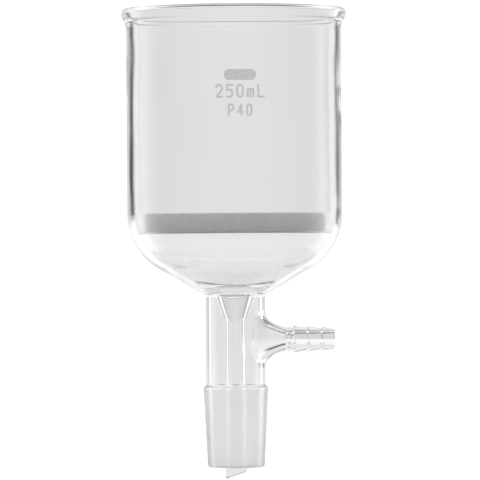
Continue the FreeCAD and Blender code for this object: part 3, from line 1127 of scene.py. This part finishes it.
@dataclass(frozen=True)
class FloorPaper(Finish):
    """Paper that the camera sees white, and that lights the glass as a lamp, with a painted shadow that dims it
    near the object.
    """

    name: str = "floor_paper"
    seen: float = 1.12
    lit: float = 0.8
    reach: float = 0.12
    painted_shadow: float = 0.3
    painted_shadow_from: float = 0.03
    painted_shadow_to: float = 0.12
    plain_share: float = 0.12
    fibre_scale: float = 900.0

    def surface(self, nodes: Nodes) -> Socket:
        """White with a little plain paper for the camera, and for everything else a lamp with a painted shadow
        near the object.
        """
        spot = nodes.object_spot()
        fibres = nodes.noise(spot, self.fibre_scale, detail=3.0)
        paper = nodes.add("ShaderNodeBsdfDiffuse", {"Color": nodes.ramp(fibres, [(0.3, 0.9), (0.7, 0.92)])})
        white = nodes.add("ShaderNodeEmission", {"Color": (1, 1, 1, 1), "Strength": self.seen})
        away = nodes.add("ShaderNodeVectorMath", {0: spot}, operation="LENGTH").outputs["Value"]
        away = nodes.sums("DIVIDE", away, self.reach)
        # painted shadow: the floor's lamp is dimmed to 0.3 of its light close to the object, where the funnel
        # would shade it
        lamp_with_painted_shadow = nodes.ramp(away, [(self.painted_shadow_from, self.painted_shadow), (self.painted_shadow_to, 1.0)])
        lamp = nodes.add("ShaderNodeEmission", {"Color": lamp_with_painted_shadow, "Strength": self.lit})
        to_camera = nodes.add("ShaderNodeLightPath").outputs["Is Camera Ray"]
        sheet = nodes.either(self.plain_share, white.outputs[0], paper.outputs[0])
        return nodes.either(to_camera, lamp.outputs[0], sheet)


@dataclass
class Studio:
    """A pale studio: bright paper behind and below, soft strips on both sides and a large soft top.

    Attributes:
        paper_seen: how bright the camera sees the paper, which is plain white.
        sweep, sweep_middle: light of the paper behind and below, and of its middle; middle_span in degrees.
        low, slot, lintel, top: light of the dark foot, a dark slot in the middle, a dim band and the top.
        sweep_span and the other spans: the sine of the height above the horizon, and the share of cover.
        behind_full, behind_end: degrees from the backdrop's middle to where its bands begin to fade and end.
        distance, height, offset, field: the camera's place and the width it sees, in millimetres.
    """

    paper_seen: float = 1.12
    sweep: float = 1.08
    sweep_middle: float = 0.87
    middle_span: tuple = (5.0, 11.0)
    sweep_span: tuple = ((-0.5, 0.0), (-0.42, 1.0), (-0.05, 1.0), (-0.025, 0.35), (-0.012, 0.35), (0.0, 0.0))
    low: float = 0.12
    low_span: tuple = ((-0.62, 1.0), (-0.5, 0.0))
    slot: float = 0.06
    slot_half: float = 5.0
    slot_span: tuple = ((-0.44, 0.0), (-0.38, 1.0), (-0.24, 1.0), (-0.18, 0.0))
    lintel: float = 0.27
    lintel_span: tuple = ((0.22, 0.0), (0.3, 1.0), (0.62, 1.0), (0.7, 0.0))
    top: float = 1.5
    top_span: tuple = ((0.55, 0.0), (0.8, 1.0))
    behind_full: float = 42.0
    behind_end: float = 58.0
    floor_size: float = 0.12
    distance: float = 1.7
    height: float = 88.8
    offset: float = 1.9
    field: float = 178.8
    sensor: float = 36.0
    roll: float = math.radians(0.4)
    glass_bounces: int = 72
    diffuse_bounces: int = 4
    fused_bounces: int = 128

    def world(self) -> None:
        """Light from every direction. The angle from the back and the height choose its strength.

        A ramp holds no more than 1, so light is halved in the ramps and doubled after them.
        """
        world = bpy.data.worlds.new("studio_world")
        bpy.context.scene.world = world
        world.use_nodes = True
        nodes = Nodes(world.node_tree)

        def around(stops: Sequence[tuple[float, float]]) -> list[tuple[float, float]]:
            """Degrees from the backdrop's middle as positions on a ramp of bearings."""
            return [(0.5 + degrees / 360, value) for degrees, value in stops]

        def up(stops: Sequence[tuple[float, float]]) -> list[tuple[float, float]]:
            """Sines of height as positions on a ramp of rises."""
            return [(0.5 + sine / 2, value) for sine, value in stops]

        direction = nodes.add("ShaderNodeTexCoord").outputs["Generated"]
        parts = nodes.add("ShaderNodeSeparateXYZ", {0: direction}).outputs
        turn = nodes.sums("ARCTAN2", parts[0], parts[1])
        bearing = nodes.sums("MULTIPLY_ADD", turn, 0.5 / math.pi, 0.5)
        stops = [(degrees, light / 2) for panel in (Panel.LEFT, Panel.PAPER, Panel.RIGHT)
                 for degrees, light in panel.value]
        level = nodes.sums("MULTIPLY", nodes.ramp(bearing, around(stops)), 2.0)
        full, end = self.behind_full, self.behind_end
        behind = nodes.ramp(bearing, around([(-end, 0), (-full, 1), (full, 1), (end, 0)]))
        away = nodes.sums("ABSOLUTE", nodes.sums("SUBTRACT", bearing, 0.5))
        near, far = self.middle_span
        sweep = nodes.ramp(away, [(near / 360, self.sweep_middle / 2), (far / 360, self.sweep / 2)])
        sweep = nodes.sums("MULTIPLY", sweep, 2.0)
        rise = nodes.sums("MULTIPLY_ADD", parts[2], 0.5, 0.5)
        for light, over_all, span in ((sweep, False, self.sweep_span), (self.low, False, self.low_span),
                                      (self.lintel, False, self.lintel_span), (self.top, True, self.top_span)):
            mask = nodes.ramp(rise, up(span))
            if not over_all:
                mask = nodes.sums("MULTIPLY", mask, behind)
            level = nodes.blend(mask, level, light)
        middle = nodes.ramp(away, [(self.slot_half / 360, 1), (2 * self.slot_half / 360, 0)])
        slot = nodes.sums("MULTIPLY", nodes.ramp(rise, up(self.slot_span)), middle)
        level = nodes.blend(slot, level, self.slot)
        to_camera = nodes.add("ShaderNodeLightPath").outputs["Is Camera Ray"]
        shown = nodes.blend(to_camera, level, self.paper_seen)
        background = nodes.add("ShaderNodeBackground", {"Color": (1, 1, 1, 1), "Strength": shown})
        nodes.add("ShaderNodeOutputWorld", {"Surface": background.outputs[0]})

    def floor(self) -> None:
        """A pale floor under the object."""
        size = self.floor_size
        corners = [(-size, -size, 0), (size, -size, 0), (size, size, 0), (-size, size, 0)]
        mesh = bpy.data.meshes.new("floor")
        mesh.from_pydata(corners, [], [(0, 1, 2, 3)])
        mesh.materials.append(FloorPaper(seen=self.paper_seen, reach=size).material())
        sheet = bpy.data.objects.new("floor", mesh)
        bpy.context.scene.collection.objects.link(sheet)

    def camera(self) -> None:
        """A long lens, level with the middle of the object, that looks along +Y."""
        lens = bpy.data.cameras.new("camera")
        lens.sensor_width = self.sensor
        lens.lens = self.distance / MM * self.sensor / self.field
        camera = bpy.data.objects.new("camera", lens)
        bpy.context.scene.collection.objects.link(camera)
        camera.location = (self.offset * MM, -self.distance, self.height * MM)
        camera.rotation_euler = (math.radians(90), self.roll, 0)
        bpy.context.scene.camera = camera

    def build(self) -> None:
        """World, floor, camera and how light is followed through the glass."""
        self.world()
        self.floor()
        self.camera()
        scene = bpy.context.scene
        scene.view_settings.view_transform = "Standard"
        scene.cycles.max_bounces = self.glass_bounces
        scene.cycles.transmission_bounces = self.glass_bounces
        scene.cycles.glossy_bounces = self.glass_bounces
        scene.cycles.diffuse_bounces = self.diffuse_bounces
        scene.cycles.transparent_max_bounces = self.fused_bounces


def main() -> None:
    """Builds the funnel and its studio."""
    Cup().build()
    Bowl().build()
    Disc().porous()
    Disc().margin()
    RingSeal().build()
    DripStem().build()
    Jacket().build()
    arm = SideArm()
    arm.neck()
    arm.weld()
    arm.barb()
    GroundJoint().build()
    Marks().build()
    Studio().build()


if __name__ == "__main__":
    logging.basicConfig(level=logging.INFO)
    main()
